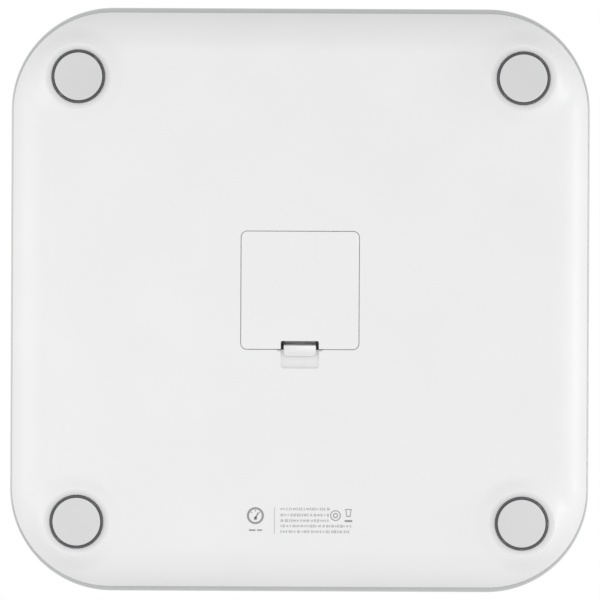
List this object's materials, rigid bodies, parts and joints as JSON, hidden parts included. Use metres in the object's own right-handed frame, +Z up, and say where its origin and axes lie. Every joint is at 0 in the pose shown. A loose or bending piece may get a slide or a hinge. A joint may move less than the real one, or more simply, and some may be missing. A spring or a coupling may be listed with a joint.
{
  "type": "digital bathroom scale",
  "caption": "Square glass-topped bathroom scale with rounded corners, sprung load-cell feet and a hinged, latched battery door in its curved underside.",
  "frame": {"origin": "centre of the footprint, on the ground under the foot pads", "axes": "+Z up through the glass platform, +Y towards the back where the display is, +X to the user's right; the user stands at -Y"},
  "size_m": [0.3, 0.3024, 0.0288],
  "materials": {
    "white_glass": "white-backed tempered glass, polished",
    "shell_plastic": "satin moulded ABS",
    "frame_plastic": "matt moulded ABS",
    "foot_plastic": "matt moulded ABS",
    "ring_rubber": "matt dark grey rubber",
    "pad_rubber": "matt light grey anti-slip rubber",
    "foam": "closed-cell foam",
    "battery_sleeve": "printed shrink sleeve",
    "nickel": "nickel-plated spring steel",
    "screw_steel": "zinc-plated steel",
    "cell_steel": "ground spring steel",
    "circuit_board": "green solder mask",
    "chip_black": "moulded epoxy",
    "connector_cream": "moulded nylon",
    "wire_skin": "PVC insulation"
  },
  "bodies": {
    "body": {"glass_platform": "white_glass", "adhesive_tape": "foam", "top_frame": "frame_plastic", "bottom_shell": "shell_plastic", "battery_box": "frame_plastic", "box_screws": "screw_steel", "contact_plates": "nickel", "contact_springs": "nickel", "main_pcb": "circuit_board", "pcb_chips": "chip_black", "pcb_connectors": "connector_cream", "pcb_screws": "screw_steel", "display_module": "chip_black", "display_gasket": "foam", "strain_gauges": "connector_cream", "holder_screws": "screw_steel", "battery_wires": "wire_skin", "battery_1": "battery_sleeve", "battery_2": "battery_sleeve", "battery_3": "battery_sleeve", "battery_4": "battery_sleeve", "load_cell_front_left": "cell_steel", "cell_holder_front_left": "frame_plastic", "cell_wires_front_left": "wire_skin", "load_cell_front_right": "cell_steel", "cell_holder_front_right": "frame_plastic", "cell_wires_front_right": "wire_skin", "load_cell_back_left": "cell_steel", "cell_holder_back_left": "frame_plastic", "cell_wires_back_left": "wire_skin", "load_cell_back_right": "cell_steel", "cell_holder_back_right": "frame_plastic", "cell_wires_back_right": "wire_skin"},
    "door": {"battery_door": "shell_plastic", "door_pad": "foam"},
    "latch": {"door_latch": "shell_plastic"},
    "foot_front_left": {"foot_holder_front_left": "foot_plastic", "foot_ring_front_left": "ring_rubber", "foot_pad_front_left": "pad_rubber"},
    "foot_front_right": {"foot_holder_front_right": "foot_plastic", "foot_ring_front_right": "ring_rubber", "foot_pad_front_right": "pad_rubber"},
    "foot_back_left": {"foot_holder_back_left": "foot_plastic", "foot_ring_back_left": "ring_rubber", "foot_pad_back_left": "pad_rubber"},
    "foot_back_right": {"foot_holder_back_right": "foot_plastic", "foot_ring_back_right": "ring_rubber", "foot_pad_back_right": "pad_rubber"}
  },
  "joints": [
    {"name": "door_hinge", "type": "hinge", "parent": "body", "child": "door", "pos_m": [0, 0.03545, 0.0056], "axis": [1, 0, 0], "range_deg": [0, 60]},
    {"name": "latch_flex", "type": "hinge", "parent": "door", "child": "latch", "pos_m": [0, -0.0226, 0.017], "axis": [1, 0, 0], "range_deg": [0, 9.5], "stiffness_Nm_per_rad": 0.05, "springref_deg": -5.73},
    {"name": "foot_travel_front_left", "type": "slide", "parent": "body", "child": "foot_front_left", "axis": [0, 0, 1], "range_m": [0, 0.0005], "stiffness_N_per_m": 3000, "springref_m": -0.004},
    {"name": "foot_travel_front_right", "type": "slide", "parent": "body", "child": "foot_front_right", "axis": [0, 0, 1], "range_m": [0, 0.0005], "stiffness_N_per_m": 3000, "springref_m": -0.004},
    {"name": "foot_travel_back_left", "type": "slide", "parent": "body", "child": "foot_back_left", "axis": [0, 0, 1], "range_m": [0, 0.0005], "stiffness_N_per_m": 3000, "springref_m": -0.004},
    {"name": "foot_travel_back_right", "type": "slide", "parent": "body", "child": "foot_back_right", "axis": [0, 0, 1], "range_m": [0, 0.0005], "stiffness_N_per_m": 3000, "springref_m": -0.004}
  ]
}
